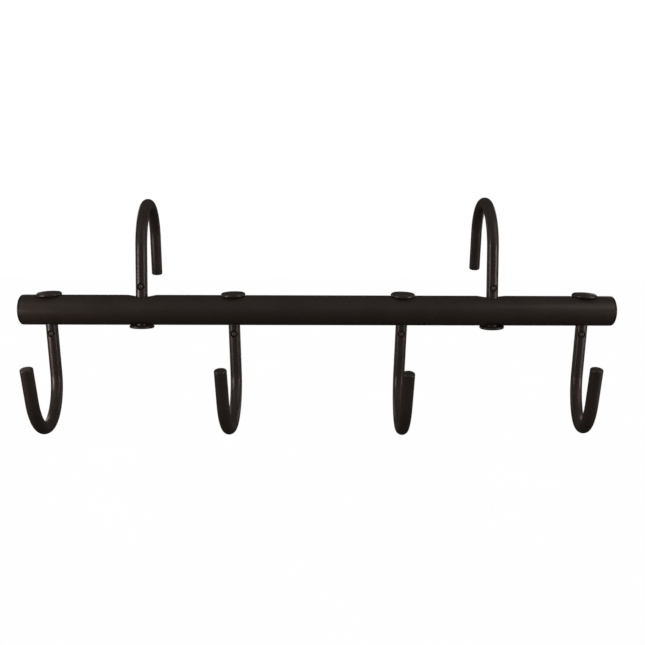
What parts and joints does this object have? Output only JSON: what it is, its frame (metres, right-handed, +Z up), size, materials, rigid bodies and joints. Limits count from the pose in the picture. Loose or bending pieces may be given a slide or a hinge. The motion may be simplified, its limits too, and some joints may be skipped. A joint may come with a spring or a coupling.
{
  "type": "portable tack rack",
  "caption": "Round steel bar with swivel hooks below for bridles and tack, and larger hooks above that go over a stall wall or rail.",
  "frame": {"origin": "centre of the bar, on its axis, midway between its ends", "axes": "X along the bar, +Y towards the wall that the rack hangs on, +Z up"},
  "size_m": [0.5006, 0.168, 0.1923],
  "materials": {
    "bar_powder_coat": "satin dark brown-black powder coat",
    "hook_powder_coat": "satin dark brown-black powder coat over bent rod",
    "pin_powder_coat": "satin dark brown-black powder coat over a driven pin",
    "plug_plastic": "fine-grained black moulded plastic"
  },
  "bodies": {
    "bar": {"bar_tube": "bar_powder_coat", "left_end_plug": "plug_plastic", "right_end_plug": "plug_plastic"},
    "left_outer_tack": {"left_outer_tack_hook": "hook_powder_coat", "left_outer_tack_pin": "pin_powder_coat"},
    "left_inner_tack": {"left_inner_tack_hook": "hook_powder_coat", "left_inner_tack_pin": "pin_powder_coat"},
    "right_inner_tack": {"right_inner_tack_hook": "hook_powder_coat", "right_inner_tack_pin": "pin_powder_coat"},
    "right_outer_tack": {"right_outer_tack_hook": "hook_powder_coat", "right_outer_tack_pin": "pin_powder_coat"},
    "left_hanger": {"left_hanger_hook": "hook_powder_coat", "left_hanger_pin": "pin_powder_coat"},
    "right_hanger": {"right_hanger_hook": "hook_powder_coat", "right_hanger_pin": "pin_powder_coat"}
  },
  "joints": [
    {"name": "left_outer_tack_swivel", "type": "hinge", "parent": "bar", "child": "left_outer_tack", "pos_m": [-0.2262, 0, 0], "axis": [-0.0384, 0.0052, 0.9992], "continuous": true},
    {"name": "left_inner_tack_swivel", "type": "hinge", "parent": "bar", "child": "left_inner_tack", "pos_m": [-0.0724, 0, 0], "axis": [-0.0244, -0.0035, 0.9997], "continuous": true},
    {"name": "right_inner_tack_swivel", "type": "hinge", "parent": "bar", "child": "right_inner_tack", "pos_m": [0.0704, 0, 0], "axis": [0.0227, -0.0366, 0.9991], "continuous": true},
    {"name": "right_outer_tack_swivel", "type": "hinge", "parent": "bar", "child": "right_outer_tack", "pos_m": [0.2252, 0, 0], "axis": [0.0297, 0, 0.9996], "continuous": true},
    {"name": "left_hanger_swivel", "type": "hinge", "parent": "bar", "child": "left_hanger", "pos_m": [-0.1497, 0, 0], "axis": [0.0139, 0.0471, 0.9988], "continuous": true},
    {"name": "right_hanger_swivel", "type": "hinge", "parent": "bar", "child": "right_hanger", "pos_m": [0.1471, 0, 0], "axis": [-0.0349, -0.0297, 0.999], "continuous": true}
  ]
}
